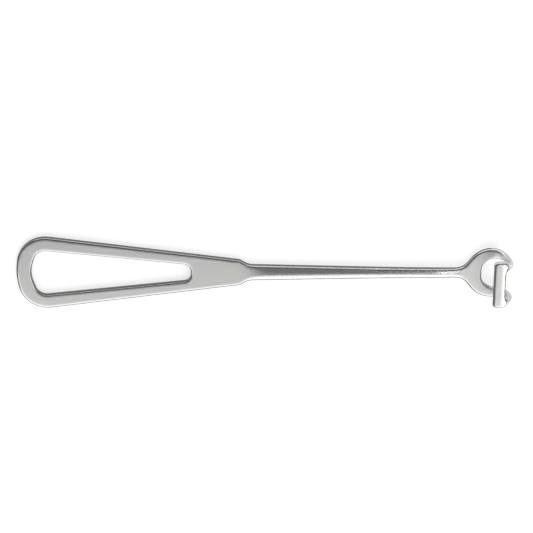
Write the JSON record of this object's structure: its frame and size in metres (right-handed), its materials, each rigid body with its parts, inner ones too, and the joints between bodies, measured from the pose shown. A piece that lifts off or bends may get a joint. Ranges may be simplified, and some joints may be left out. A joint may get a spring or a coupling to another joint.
{
  "type": "handheld surgical retractor",
  "caption": "One-piece steel hand retractor: slotted teardrop handle, slender shaft, and an open ring whose arms curl up and back to a crossbar.",
  "frame": {"origin": "on the back's plane, under the middle of the retractor's length and width", "axes": "+X from the handle to the hook, +Y across the handle, +Z out of the face that the hook curls to"},
  "size_m": [0.22, 0.0346, 0.0164],
  "materials": {
    "steel": "satin stainless steel, brushed along the handle, polished on the shaft, the rounded edges and the crossbar"
  },
  "bodies": {
    "root": {"retractor": "steel"}
  },
  "joints": []
}
